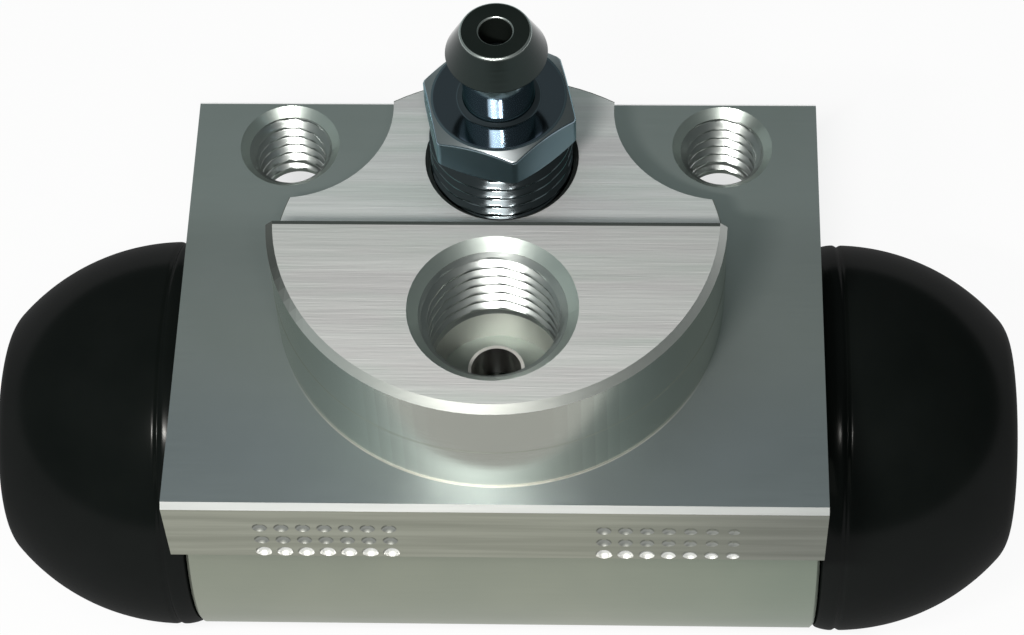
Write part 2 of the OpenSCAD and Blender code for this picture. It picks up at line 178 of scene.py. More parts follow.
def ring(radius, height, angles):
    """Ring of points round the Z axis. The radius and the height may change with the angle."""
    ones = np.ones_like(angles)
    return np.column_stack([radius * np.cos(angles), radius * np.sin(angles), height * ones])


def full_turn(steps, start=0.0):
    """Angles of a ring, evenly spaced, from a start angle in degrees."""
    return math.radians(start) + np.arange(steps) * 2 * math.pi / steps


def skin(name, rows, closed, place, sharp_angle=35):
    """Mesh object through rows of points in millimetres. Each row is a ring, or one point at a tip."""
    starts = np.cumsum([0] + [len(row) for row in rows])
    pairs = [(k, k + 1) for k in range(len(rows) - 1)]
    if closed:
        pairs.append((len(rows) - 1, 0))
    faces = []
    for a, b in pairs:
        count = max(len(rows[a]), len(rows[b]))
        for i in range(count):
            j = (i + 1) % count
            first = [starts[a] + i % len(rows[a]), starts[a] + j % len(rows[a])]
            second = [starts[b] + j % len(rows[b]), starts[b] + i % len(rows[b])]
            faces.append([int(k) for k in dict.fromkeys(first + second)])
    mesh = bpy.data.meshes.new(name)
    mesh.from_pydata(np.vstack(rows).tolist(), [], faces)
    work = bmesh.new()
    work.from_mesh(mesh)
    bmesh.ops.recalc_face_normals(work, faces=work.faces)
    work.to_mesh(mesh)
    work.free()
    mesh.transform(Matrix.Scale(MM, 4) @ place)
    mesh.shade_smooth()
    mesh.set_sharp_from_angle(angle=math.radians(sharp_angle))
    made = bpy.data.objects.new(name, mesh)
    bpy.context.scene.collection.objects.link(made)
    return made


def along_bore(side):
    """Turns a shape made along +Z to run along the bore, outwards on the given side."""
    return Matrix.Translation((0, 0, BORE_Z)) @ Matrix.Rotation(math.radians(side * 90), 4, "Y")


def thread_radius(height, angles, crest, root):
    """Radius of a right-hand thread at a height, all the way round."""
    turn = (height / PITCH - angles / (2 * math.pi)) % 1
    off_crest = np.abs(turn - 0.5) * 2
    return np.interp(off_crest, [CREST_SHARE, ROOT_SHARE], [crest, root])


def tapped_thread(name, x, y, radius, low, high):
    """Sleeve with an inner thread that lines a plain hole and runs out in the cone at its mouth."""
    angles = full_turn(TAPPED_STEPS)
    top = high - 4 * SLEEVE_GAP
    rows = []
    for height in np.arange(low, top, PITCH / STEPS_PER_PITCH).tolist() + [top]:
        thread = thread_radius(height, angles, radius - THREAD_DEPTH, radius - 3 * SLEEVE_GAP)
        run_out = radius - THREAD_DEPTH + (height - low) * RUN_OUT_SLOPE
        rows.append(ring(np.maximum(np.minimum(thread, run_out), radius - (high - height)), height, angles))
    for height in (top, low):
        rows.append(ring(radius - SLEEVE_GAP, height, angles))
    return skin(name, rows, True, Matrix.Translation((x, y, 0)))


def hexagon_radius(angles):
    """Distance from the axis to the hexagon's side, with its corners broken."""
    across = (angles - math.radians(HEX_TURN)) % (math.pi / 3) - math.pi / 6
    corner = HEX_FLATS / 2 / math.cos(math.pi / 6)
    return np.minimum(HEX_FLATS / 2 / np.cos(across), corner - HEX_EDGE)


def shank_rows(angles):
    """Rings of the screw's tapered tip and its thread, up to the hexagon."""
    chamfered = BLEEDER_RADIUS - THREAD_CHAMFER
    low = BLEEDER_TIP + chamfered - TIP_RADIUS
    high = HEX_LOW - THREAD_END
    rows = [np.array([[0, 0, BLEEDER_TIP]]), ring(TIP_RADIUS, BLEEDER_TIP, angles)]
    for height in np.arange(low, high, PITCH / STEPS_PER_PITCH):
        ends = chamfered + min(height - low, high - height)
        thread = thread_radius(height, angles, BLEEDER_RADIUS, BLEEDER_RADIUS - THREAD_DEPTH)
        rows.append(ring(np.minimum(thread, ends), height, angles))
    rows.append(ring(chamfered, HEX_LOW, angles))
    return rows


def hexagon_rows(angles):
    """Rings of the hexagon and its land. Rings close to each edge keep the faces between them flat."""
    side = hexagon_radius(angles)
    slope = math.tan(math.radians(HEX_SLOPE))
    under = HEX_FLATS / 2 - HEX_EDGE
    low_edge = HEX_LOW + (side - under) * slope
    edge = HEX_HIGH - (side - HEX_LAND) * slope
    rows = [ring(under, HEX_LOW, angles)]
    for height in (low_edge, low_edge + HEX_EDGE, edge - 2 * HEX_EDGE, edge - HEX_EDGE):
        rows.append(ring(side, height, angles))
    rows.append(ring(side - HEX_EDGE, edge + HEX_EDGE * slope, angles))
    for share in BEVEL_SHARES:
        radius = side - HEX_EDGE + (HEX_LAND + 2 * HEX_EDGE - side) * share
        rows.append(ring(radius, HEX_HIGH - (radius - HEX_LAND) * slope, angles))
    rows.append(ring(HEX_LAND + HEX_EDGE, HEX_HIGH - HEX_EDGE * slope, angles))
    for radius in (HEX_LAND - HEX_EDGE, HEX_LAND - 2 * HEX_EDGE, FLARE_RADIUS + HEX_EDGE):
        rows.append(ring(radius, HEX_HIGH, angles))
    return rows


def nipple_outline():
    """Radius and height from the foot of the neck over the barb to the floor of the bleed channel."""
    neck_low = HEX_HIGH + FLARE_HEIGHT
    outline = [(FLARE_RADIUS, HEX_HIGH), (FLARE_RADIUS - FLARE_EDGE, HEX_HIGH + FLARE_RISE)]
    outline.append((NECK_RADIUS + FILLET_WIDTH, HEX_HIGH + FILLET_RISE))
    for end in (neck_low - NECK_MARGIN, NECK_TOP - NECK_MARGIN - NECK_RING):
        outline += [(NECK_RADIUS, end), (NECK_RADIUS, end + NECK_RING)]
    outline.append((NECK_RADIUS + BARB_START[0], NECK_TOP + BARB_START[1]))
    outline += [(BARB_RADIUS + out, NECK_TOP + BARB_UNDER + above) for out, above in BARB_EDGE]
    top_centre = (NIPPLE_RADIUS - NIPPLE_EDGE, BLEEDER_TOP - NIPPLE_EDGE)
    top_edge = arc(top_centre, NIPPLE_EDGE, NIPPLE_SLOPE, 90, 6)
    low, high = np.array(outline[-1]), np.array(top_edge[0])
    outline += [tuple(low + (high - low) * share) for share in CONE_SHARES] + top_edge
    outline.append((NIPPLE_RADIUS - 1.3 * NIPPLE_EDGE, BLEEDER_TOP))
    outline.append((CHANNEL_RADIUS + 1.3 * CHANNEL_EDGE, BLEEDER_TOP))
    channel_centre = (CHANNEL_RADIUS + CHANNEL_EDGE, BLEEDER_TOP - CHANNEL_EDGE)
    outline += arc(channel_centre, CHANNEL_EDGE, 90, 180, 5)
    outline.append((CHANNEL_RADIUS, CHANNEL_FLOOR))
    return outline


def bleeder_rows():
    """Outside of the bleeder screw from its tip to its top, and back down the bleed channel."""
    angles = full_turn(SCREW_STEPS, HEX_TURN)
    rows = shank_rows(angles) + hexagon_rows(angles)
    rows += [ring(radius, height, angles) for radius, height in nipple_outline()]
    rows.append(np.array([[0, 0, CHANNEL_FLOOR - CHANNEL_RADIUS / 2]]))
    return rows


def cut_cross_hole(screw):
    """Drills the hole across the screw's tip that leads into the bleed channel."""
    angles = full_turn(CROSS_HOLE_STEPS)
    reach = BLEEDER_RADIUS + 1
    rows = [np.array([[0, 0, -reach]])]
    rows += [ring(CROSS_HOLE_RADIUS, height, angles) for height in (-reach, reach)]
    rows.append(np.array([[0, 0, reach]]))
    place = Matrix.Translation((BLEEDER_X, BLEEDER_Y, CHANNEL_FLOOR)) @ Matrix.Rotation(math.pi / 2, 4, "Y")
    drill = skin("cross_hole_drill", rows, False, place)
    cut = screw.modifiers.new("cross_hole", "BOOLEAN")
    cut.object = drill
    cut.operation = "DIFFERENCE"
    shape = bpy.data.meshes.new_from_object(screw.evaluated_get(bpy.context.evaluated_depsgraph_get()))
    screw.modifiers.clear()
    screw.data = shape
    bpy.data.objects.remove(drill)


def boot_outline():
    """Section of a boot as radius and height above the housing's end, once round its wall."""
    rise = BOOT_LENGTH - DOME_CORNER - DOME_START
    across = BOOT_RADIUS - DOME_FLAT
    dome = (across**2 + rise**2 - DOME_CORNER**2) / 2 / (across - DOME_CORNER)
    centre = (BOOT_RADIUS - dome, DOME_START)
    corner = (DOME_FLAT, DOME_START + rise)
    turn = math.degrees(math.atan2(rise, DOME_FLAT - centre[0]))
    crease_turn = math.degrees(math.asin((CREASE_TOP - DOME_START) / dome))
    lip_outside = LIP_RADIUS + LIP_THICKNESS
    hole_edge = (BOOT_HOLE + BOOT_HOLE_EDGE, BOOT_LENGTH - BOOT_HOLE_EDGE)
    outline = arc(hole_edge, BOOT_HOLE_EDGE, 180, 90, 4)
    outline += arc(corner, DOME_CORNER, 90, turn, 16)
    outline += arc(centre, dome, turn, crease_turn, 40)[1:]
    for height in np.linspace(CREASE_TOP, RIM_EDGE, 41)[1:]:
        bulge = math.sqrt(dome**2 - max(height - DOME_START, 0) ** 2) - dome
        bead = math.sqrt(BEAD_ROUND**2 - max(BEAD_CREST - height, 0) ** 2) - BEAD_ROUND
        crease = CREASE_DEPTH * math.exp(-(((height - CREASE_HEIGHT) / CREASE_WIDTH) ** 2))
        outline.append((BOOT_RADIUS + bulge + bead - crease, height))
    outline += arc((outline[-1][0] - RIM_INSET, RIM_GAP + RIM_ROUND), RIM_ROUND, -30, -90, 8)[1:]
    outline += [(lip_outside, RIM_GAP)]
    outline += arc((lip_outside, 1.5 * LIP_BEAD - LIP_LENGTH), LIP_BEAD, 90, -90, 8)
    outline += [(lip_outside, -LIP_LENGTH), (LIP_RADIUS, -LIP_LENGTH), (LIP_RADIUS, BOOT_WALL)]
    outline += [(BOOT_RADIUS - BOOT_WALL, BOOT_WALL)]
    outline += arc(centre, dome - BOOT_WALL, 0, turn, 32)
    outline += arc(corner, DOME_CORNER - BOOT_WALL, turn, 90, 4)[1:]
    outline += [(BOOT_HOLE, BOOT_LENGTH - BOOT_WALL)]
    return outline


def spring_place(turn):
    """Place of the wire along the bore after a number of turns, with a closed coil at each end."""
    run = SPRING_LENGTH - WIRE_DIAMETER
    turns = [0, 1, SPRING_TURNS - 1, SPRING_TURNS]
    return np.interp(turn, turns, [-run / 2, WIRE_DIAMETER - run / 2, run / 2 - WIRE_DIAMETER, run / 2])


def spring_rows(first_turn, last_turn):
    """Rings round the wire from one turn of the spring to another, with a point at each end."""
    coil = (SPRING_DIAMETER - WIRE_DIAMETER) / 2
    around = full_turn(WIRE_STEPS)
    rows = []
    for turn in np.linspace(first_turn, last_turn, STEPS_PER_TURN * int(last_turn - first_turn) + 1):
        angle = 2 * math.pi * turn
        reach = coil + WIRE_DIAMETER / 2 * np.cos(around)
        along = spring_place(turn) + WIRE_DIAMETER / 2 * np.sin(around)
        rows.append(np.column_stack([along, reach * math.cos(angle), reach * math.sin(angle)]))
    ends = [rows[0].mean(axis=0, keepdims=True), rows[-1].mean(axis=0, keepdims=True)]
    return [ends[0]] + rows + [ends[1]]


# Materials


class Finish:
    """A material with one Principled shader, and short calls that add nodes to it."""

    def __init__(self, name, **settings):
        self.material = bpy.data.materials.new(name)
        self.material.use_nodes = True
        self.tree = self.material.node_tree
        self.shader = self.tree.nodes["Principled BSDF"]
        self.use(**settings)

    def put(self, socket, value):
        """Links a value that another node gives, or sets a plain one."""
        if isinstance(value, bpy.types.NodeSocket):
            self.tree.links.new(value, socket)
        else:
            socket.default_value = value

    def use(self, **values):
        """Gives values to the shader's inputs."""
        for key, value in values.items():
            self.put(self.shader.inputs[key.replace("_", " ")], value)

    def node(self, kind, inputs=(), **settings):
        """Adds a node with its settings, and its inputs by name or number."""
        made = self.tree.nodes.new(kind)
        for key, value in settings.items():
            setattr(made, key, value)
        for key, value in dict(inputs).items():
            self.put(made.inputs[key], value)
        return made

    def split(self, vector):
        return self.node("ShaderNodeSeparateXYZ", {0: vector}).outputs

    def place(self):
        """Place on the object, in metres."""
        return self.node("ShaderNodeTexCoord").outputs["Object"]

    def spot(self):
        """X, Y and Z of the place on the object, in millimetres."""
        inputs = {0: self.place(), "Scale": 1 / MM}
        return self.split(self.node("ShaderNodeVectorMath", inputs, operation="SCALE").outputs[0])

    def face(self):
        """X, Y and Z of the way the surface faces."""
        return self.split(self.node("ShaderNodeNewGeometry").outputs["True Normal"])

    def math(self, operation, a, b=0.0):
        return self.node("ShaderNodeMath", {0: a, 1: b}, operation=operation).outputs[0]

    def distance(self, x, y, x0, y0):
        """Distance from an upright axis."""
        dx, dy = self.math("SUBTRACT", x, x0), self.math("SUBTRACT", y, y0)
        squares = self.math("ADD", self.math("MULTIPLY", dx, dx), self.math("MULTIPLY", dy, dy))
        return self.math("SQRT", squares)

    def both(self, first, *others):
        """Product of masks."""
        for other in others:
            first = self.math("MULTIPLY", first, other)
        return first

    def most(self, first, *others):
        """Largest of some masks."""
        for other in others:
            first = self.math("MAXIMUM", first, other)
        return first

    def add_shares(self, value, *shares):
        """A value with more added where masks are, each mask with how much it adds."""
        for mask, more in shares:
            value = self.math("ADD", value, self.math("MULTIPLY", mask, more))
        return value

    def step(self, value, low, high):
        """0 at low and 1 at high, with a smooth rise between them. Low may be the larger one."""
        inputs = {"Value": value, "From Min": low, "From Max": high}
        return self.node("ShaderNodeMapRange", inputs, interpolation_type="SMOOTHSTEP").outputs[0]

    def range(self, value, low, high):
        """A value from 0 to 1 spread from low to high."""
        inputs = {"Value": value, "To Min": low, "To Max": high}
        return self.node("ShaderNodeMapRange", inputs).outputs[0]

    def noise(self, scale, detail=3.0, roughness=0.5, offset=(0, 0, 0)):
        """Noise with its own number of features per metre along X, Y and Z."""
        moved = self.node("ShaderNodeMapping", {"Vector": self.place(), "Scale": scale, "Location": offset})
        inputs = {"Vector": moved.outputs[0], "Scale": 1.0, "Detail": detail, "Roughness": roughness}
        return self.node("ShaderNodeTexNoise", inputs).outputs[0]

    def mix(self, factor, a, b, blend="MIX"):
        """Colour mix of a and b."""
        made = self.node("ShaderNodeMix", data_type="RGBA", blend_type=blend)
        for number, value in ((0, factor), (6, a), (7, b)):
            self.put(made.inputs[number], value)
        return made.outputs[2]

    def shade(self, factor, colour, share):
        """A colour multiplied by a share where the factor is 1."""
        return self.mix(factor, colour, self.mix(1.0, colour, (*share, 1), "MULTIPLY"))

    def bump(self, height, depth):
        """Gives the shader a bump of that depth in millimetres."""
        inputs = {"Height": height, "Distance": depth * MM, "Strength": 1.0}
        self.put(self.shader.inputs["Normal"], self.node("ShaderNodeBump", inputs).outputs[0])


def housing_faces(f):
    """Masks of the housing's faces, with the place and the way of facing that they come from."""
    on = SimpleNamespace()
    on.across, on.along, on.up = f.face()
    on.x, on.y, on.height = f.spot()
    from_axis = f.distance(on.x, on.y, 0, 0)
    from_port = f.distance(on.x, on.y, PORT_X, PORT_Y)
    raised = f.step(on.height, 1.0, 2.0)
    on.top = f.step(on.up, 0.9, 0.98)
    on.milled = f.both(on.top, raised, f.step(from_axis, BOSS_RADIUS - 0.03, BOSS_RADIUS - 0.07))
    on.ledge = f.both(on.top, raised, f.step(from_axis, BOSS_RADIUS - 0.07, BOSS_RADIUS - 0.03))
    on.plate = f.both(on.top, f.step(on.height, 2.0, 1.0))
    on.front = f.both(f.step(on.along, -0.9, -0.98), f.step(on.y, PLATE_FRONT + 0.65, PLATE_FRONT + 0.55))
    on.slanted = f.both(f.step(on.up, 0.6, 0.65), f.step(on.up, 0.8, 0.75))
    off_middle = f.math("ABSOLUTE", on.y)
    on.bevel = f.both(on.slanted, f.step(off_middle, PLATE_BACK - 0.47, PLATE_BACK - 0.45))
    on.bevel = f.both(on.bevel, f.step(on.height, -0.6, -0.5))
    on.rim = f.both(on.slanted, f.step(from_axis, BOSS_RADIUS - 0.85, BOSS_RADIUS - 0.75))
    on.rim = f.both(on.rim, f.step(on.height, BOSS_HIGH - 0.7, BOSS_HIGH - 0.6))
    # Painted shadow: a dark strip along the back edge of the high boss top stands for the step's shadow on the low
    # top.
    on.brink = f.both(on.top, f.step(on.height, BOSS_HIGH - 0.7, BOSS_HIGH - 0.2))
    on.brink = f.both(on.brink, f.step(on.y, BOSS_STEP - 0.3, BOSS_STEP - 0.25))
    # Painted highlight: a pale ring round the foot of the boss wall, on its front stretch only.
    on.foot = f.both(on.top, f.step(from_axis, BOSS_RADIUS - 0.01, BOSS_RADIUS))
    on.foot = f.both(on.foot, f.step(from_axis, BOSS_RADIUS + 0.11, BOSS_RADIUS + 0.09))
    on.foot = f.both(on.foot, f.step(on.height, 0.3, 0.2), f.step(on.y, -5.0, -13.0))
    on.dents = f.both(f.step(on.along, -0.97, -0.95), f.step(on.y, PLATE_FRONT + 0.6, PLATE_FRONT + 0.55))
    on.dents = f.both(on.dents, f.step(on.height, -0.5, -0.6))
    on.drilled = f.step(from_port, PORT_RADIUS + 0.1, PORT_RADIUS + 0.05)
    on.drilled = f.both(on.drilled, f.step(on.height, BOSS_HIGH - 0.7, BOSS_HIGH - 0.8))
    on.drilled = f.both(on.drilled, f.step(on.height, -1.2, -1.0))
    on.barrel = f.step(on.height, -PLATE_THICKNESS - 0.1, -PLATE_THICKNESS - 0.3)
    on.barrel = f.both(on.barrel, f.step(on.y, -12.0, -12.5))
    return on


def housing_colour(f, on, streaks):
    """Colour of the housing, face by face, with painted shade and painted highlights on some faces."""
    patches = f.noise((160, 160, 160), detail=2.0, offset=(1, 4, 2))
    tints = f.noise((70, 420, 420), detail=2.0, offset=(7, 3, 1))
    # Painted shade: the brushed front band and the barrel grow darker towards +X.
    painted_shade_to_right = f.step(on.x, 4.0, 23.0)

    # Turned wall with painted shading: paler on the sides, darker on the stretch that faces the front.
    wall = f.mix(patches, (0.46, 0.51, 0.45, 1), (0.52, 0.56, 0.50, 1))
    front_wall_painted_shade = f.mix(patches, (0.29, 0.3, 0.265, 1), (0.33, 0.34, 0.3, 1))
    wall = f.mix(f.step(on.along, -0.8, -0.98), wall, front_wall_painted_shade)

    # Plate face with painted shading: darker and bluer towards the front, paler towards the back.
    plain = f.mix(patches, (0.42, 0.465, 0.45, 1), (0.47, 0.51, 0.51, 1))
    plate_front_painted_shade = f.mix(patches, (0.34, 0.385, 0.40, 1), (0.385, 0.43, 0.46, 1))
    plate_back_painted_light = f.mix(patches, (0.5, 0.56, 0.54, 1), (0.56, 0.61, 0.61, 1))
    plain = f.mix(f.step(on.y, -2.0, -14.0), plain, plate_front_painted_shade)
    plain = f.mix(f.step(on.y, 3.0, 9.0), plain, plate_back_painted_light)

    fresh = f.mix(f.step(tints, 0.35, 0.65), (0.86, 0.85, 0.87, 1), (0.82, 0.86, 0.85, 1))
    fresh = f.mix(f.step(streaks, 0.35, 0.7), fresh, (0.93, 0.94, 0.95, 1))
    # Painted shading of the milled tops: the high top a little darker, the low top a little paler.
    high_top_painted_shade = f.mix(1.0, fresh, (0.93, 0.92, 0.91, 1), "MULTIPLY")
    low_top_painted_light = f.mix(1.0, fresh, (1.05, 1.05, 1.05, 1), "MULTIPLY")
    fresh = f.mix(f.step(on.height, BOSS_LOW + 1.65, BOSS_LOW + 0.65), high_top_painted_shade, low_top_painted_light)

    brushed = f.mix(f.step(streaks, 0.3, 0.7), (0.24, 0.25, 0.20, 1), (0.32, 0.33, 0.27, 1))
    brushed = f.shade(painted_shade_to_right, brushed, (0.62, 0.63, 0.66))
    outside = f.mix(patches, (0.29, 0.315, 0.26, 1), (0.33, 0.35, 0.285, 1))
    outside = f.shade(painted_shade_to_right, outside, (0.8, 0.86, 0.86))
    rim = f.mix(f.step(on.across, -0.56, -0.69), (0.74, 0.76, 0.73, 1), (0.1, 0.11, 0.1, 1))
    bevel = f.mix(streaks, (0.82, 0.84, 0.84, 1), (0.97, 0.97, 0.96, 1))
    # Painted shading in the dents: dark where they face sideways or down, paler where they face up, with a white
    # painted highlight in the lowest row.
    dents_painted_half_light = f.both(on.dents, f.step(on.up, 0.05, 0.3))
    dents_painted_highlight = f.both(on.dents, f.step(on.up, 0.25, 0.45))
    dents_painted_highlight = f.both(dents_painted_highlight, f.step(on.height, LOWEST_DENTS, LOWEST_DENTS - 0.1))

    colour = wall
    for mask, finish in (
        (on.plate, plain),
        (on.front, brushed),
        (on.barrel, outside),
        (on.milled, fresh),
        # The foot ring's pale colour is a painted highlight; the drilled port floor has that colour as its own.
        (f.most(on.foot, on.drilled), (0.72, 0.71, 0.69, 1)),
        (on.slanted, (0.62, 0.68, 0.65, 1)),
        (on.rim, rim),
        (on.bevel, bevel),
        # Dents: painted shade, painted half light and painted highlight.
        (on.dents, (0.2, 0.21, 0.18, 1)),
        (dents_painted_half_light, (0.34, 0.35, 0.33, 1)),
        (dents_painted_highlight, (0.96, 0.96, 0.94, 1)),
        # Painted step shadow along the high top's back edge.
        (on.brink, (0.12, 0.135, 0.13, 1)),
        (on.ledge, (0.28, 0.3, 0.27, 1)),
    ):
        colour = f.mix(mask, colour, finish)
    return colour


def machined_aluminium():
    """Housing metal: milled boss tops, a finer plate face, brushed front faces and smooth turned walls."""
    f = Finish("machined_aluminium", Metallic=1.0)
    on = housing_faces(f)
    lines = f.noise((150, 5200, 5200), detail=4.0, roughness=0.65)
    streaks = f.noise((40, 1100, 1100), detail=3.0, roughness=0.6, offset=(3, 1, 2))
    turned = f.noise((30, 30, 5000), detail=3.0, roughness=0.6, offset=(5, 2, 6))
    rough = f.add_shares(
        f.range(lines, 0.18, 0.26),
        (on.milled, 0.42),
        (on.plate, 0.25),
        (on.front, 0.17),
        (on.barrel, 0.25),
        (on.slanted, 0.12),
        (on.bevel, 0.04),
        (on.rim, 0.04),
        (on.drilled, 0.1),
        (on.dents, 0.3),
        (on.ledge, 0.35),
    )
    f.use(Base_Color=housing_colour(f, on, streaks), Roughness=rough)
    cut = f.add_shares(0.0, (on.milled, 0.62), (f.most(on.top, on.front, on.barrel), 0.08))
    flat = f.both(f.math("ADD", lines, streaks), cut)
    upright = f.both(turned, f.step(on.up, 0.5, 0.3), f.step(on.front, 0.5, 0.4))
    upright = f.both(upright, f.step(on.height, -1.0, 0.0))
    f.bump(f.add_shares(flat, (upright, 0.25)), 0.03)
    return f.material


def thread_aluminium():
    """Cut thread: clean metal with a fine chatter."""
    f = Finish("thread_aluminium", Metallic=1.0)
    chatter = f.noise((900, 900, 2500), detail=3.0)
    f.use(Base_Color=f.mix(chatter, (0.38, 0.41, 0.41, 1), (0.46, 0.48, 0.47, 1)))
    f.use(Roughness=f.range(chatter, 0.27, 0.35))
    f.bump(chatter, 0.01)
    return f.material


def plated_steel():
    """Bleeder screw: dark glossy nipple, bright neck and bevel, blue-gray hexagon and thread."""
    f = Finish("plated_steel", Specular_IOR_Level=0.5, Specular_Tint=(0.4, 0.56, 0.55, 1))
    up = f.face()[2]
    x, y, height = f.spot()
    from_axis = f.distance(x, y, BLEEDER_X, BLEEDER_Y)
    clouds = f.noise((400, 400, 400), detail=3.0)
    turned = f.noise((60, 60, 6000), detail=2.0, offset=(2, 5, 1))
    nipple_edge = BLEEDER_TOP - NIPPLE_EDGE
    plated = f.step(height, NECK_TOP + 0.3, NECK_TOP + 0.2)
    worn = f.both(f.step(up, 0.42, 0.5), f.step(up, 0.985, 0.95))
    worn = f.both(worn, f.step(height, nipple_edge, nipple_edge + 0.03))
    flare = f.step(height, HEX_HIGH + 0.01, HEX_HIGH + 0.02)
    waist = f.step(height, HEX_HIGH + 0.28, HEX_HIGH + 0.34)
    land = f.both(f.step(up, 0.97, 0.99), f.step(from_axis, HEX_LAND + 0.2, HEX_LAND + 0.1))
    bevelled = f.both(f.step(up, 0.8, 0.84), f.step(up, 0.92, 0.9))
    bevelled = f.both(bevelled, f.step(from_axis, HEX_LAND - 0.2, HEX_LAND - 0.1))
    bevelled = f.both(bevelled, f.step(height, HEX_LOW + 0.4, HEX_LOW + 0.5))
    thread = f.step(height, HEX_LOW, HEX_LOW - 0.1)
    flats = f.both(f.step(up, 0.5, 0.4), f.step(height, HEX_LOW + 0.1, HEX_LOW + 0.2))
    flats = f.both(flats, f.step(height, HEX_HIGH, HEX_HIGH - 0.02))
    colour = f.mix(clouds, (0.2, 0.265, 0.315, 1), (0.25, 0.315, 0.36, 1))
    for mask, finish in (
        (flare, (0.12, 0.14, 0.16, 1)),
        (waist, (0.52, 0.60, 0.66, 1)),
        (land, (0.14, 0.168, 0.2, 1)),
        (thread, (0.1, 0.115, 0.125, 1)),
        (bevelled, (0.38, 0.41, 0.43, 1)),
    ):
        colour = f.mix(mask, colour, finish)
    nipple = f.mix(clouds, (0.005, 0.007, 0.006, 1), (0.011, 0.013, 0.012, 1))
    colour = f.mix(plated, nipple, colour)
    colour = f.mix(worn, colour, (0.5, 0.54, 0.53, 1))
    rough = f.range(turned, 0.06, 0.12)
    rough = f.add_shares(rough, (thread, 0.02), (bevelled, 0.2), (flats, 0.24), (worn, 0.25))
    f.use(Base_Color=colour, Roughness=rough, Metallic=f.most(plated, worn))
    f.bump(turned, 0.0015)
    return f.material


def boot_rubber():
    """Moulded black rubber with a satin skin."""
    f = Finish("boot_rubber", Specular_IOR_Level=0.0, Coat_Weight=0.075, Coat_IOR=1.9, Coat_Roughness=0.19)
    grain = f.noise((2600, 2600, 2600), detail=4.0)
    clouds = f.noise((180, 180, 180), detail=3.0, offset=(4, 2, 7))
    f.use(Base_Color=f.mix(clouds, (0.003, 0.0042, 0.0038, 1), (0.0075, 0.009, 0.0085, 1)))
    f.use(Roughness=f.range(clouds, 0.4, 0.6))
    f.bump(grain, 0.008)
    return f.material


def turned_aluminium():
    """Pistons, turned along the bore."""
    f = Finish("turned_aluminium", Metallic=1.0)
    tool_marks = f.noise((4000, 40, 40), detail=3.0)
    f.use(Base_Color=f.mix(tool_marks, (0.58, 0.59, 0.59, 1), (0.74, 0.75, 0.75, 1)))
    f.use(Roughness=f.range(tool_marks, 0.25, 0.4))
    f.bump(tool_marks, 0.008)
    return f.material


def cup_rubber():
    """Matte seal rubber."""
    f = Finish("cup_rubber", Specular_IOR_Level=0.3)
    grain = f.noise((1500, 1500, 1500), detail=4.0)
    f.use(Base_Color=f.mix(grain, (0.012, 0.012, 0.012, 1), (0.03, 0.03, 0.03, 1)))
    f.use(Roughness=f.range(grain, 0.5, 0.7))
    f.bump(grain, 0.02)
    return f.material


def steel(name, dark, light):
    """Bare steel of the spring and the pressed expanders."""
    f = Finish(name, Metallic=1.0)
    grain = f.noise((1200, 300, 300), detail=4.0)
    f.use(Base_Color=f.mix(grain, (dark, dark, dark * 1.04, 1), (light, light, light * 1.04, 1)))
    f.use(Roughness=f.range(grain, 0.22, 0.4))
    f.bump(grain, 0.006)
    return f.material


def pale_floor():
    """Plain white paper under the object, white to the camera and in reflections, with a painted shadow where it
    glows less under and behind the object.
    """
    f = Finish("pale_floor", Roughness=0.9, Specular_IOR_Level=0.1)
    fibre = f.noise((700, 700, 700), detail=4.0)
    f.use(Base_Color=f.mix(fibre, (0.93, 0.93, 0.93, 1), (0.96, 0.96, 0.96, 1)))
    rays = f.node("ShaderNodeLightPath").outputs
    seen = f.most(rays["Is Camera Ray"], rays["Is Glossy Ray"], rays["Is Transmission Ray"])
    x, y, _ = f.spot()
    # Painted shadow: the floor glows less under and behind the object.
    beside = f.step(f.math("ABSOLUTE", x), *SHADED_SIDES)
    open_floor = f.most(beside, f.step(y, *SHADED_BACK), f.step(y, *SHADED_FRONT))
    share = f.both(seen, f.range(open_floor, SHADED_GLOW, FLOOR_GLOW))
    glow = f.node("ShaderNodeEmission", {"Color": (1, 1, 1, 1), "Strength": 1.0})
    lit = f.node("ShaderNodeMixShader", {0: share, 1: f.shader.outputs[0], 2: glow.outputs[0]})
    f.put(f.tree.nodes["Material Output"].inputs["Surface"], lit.outputs[0])
    return f.material


# Pieces


def dress(piece, material):
    """Gives a new piece its material."""
    piece.data.materials.clear()
    piece.data.materials.append(material)
    return piece


def paint_nodes(material, *names):
    """Gives CAD nodes their material."""
    for name in names:
        for material_slot in frame["nodes"][name].material_slots:
            material_slot.material = material


thread_metal = thread_aluminium()
rubber = boot_rubber()
spring_steel = steel("spring_steel", 0.34, 0.5)
paint_nodes(machined_aluminium(), "cylinder_body")
paint_nodes(turned_aluminium(), "left_piston", "right_piston")
paint_nodes(cup_rubber(), "left_cup_seal", "right_cup_seal")
paint_nodes(steel("pressed_steel", 0.48, 0.62), "left_cup_expander", "right_cup_expander")

tapped = [tapped_thread("inlet_thread", PORT_X, PORT_Y, PORT_RADIUS, PORT_LOW, PORT_HIGH)]
for name, side in (("left_mount_thread", -1), ("right_mount_thread", 1)):
    tapped.append(tapped_thread(name, side * BOLT_SPREAD / 2, BOLT_Y, BOLT_RADIUS, BOLT_LOW, BOLT_HIGH))
for piece in tapped:
    dress(piece, thread_metal)
    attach(piece, "housing")

bleeder = skin("plated_bleeder_screw", bleeder_rows(), False, Matrix.Translation((BLEEDER_X, BLEEDER_Y, 0)))
cut_cross_hole(bleeder)
dress(bleeder, plated_steel())
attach(bleeder, "bleeder")
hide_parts("bleeder_screw")

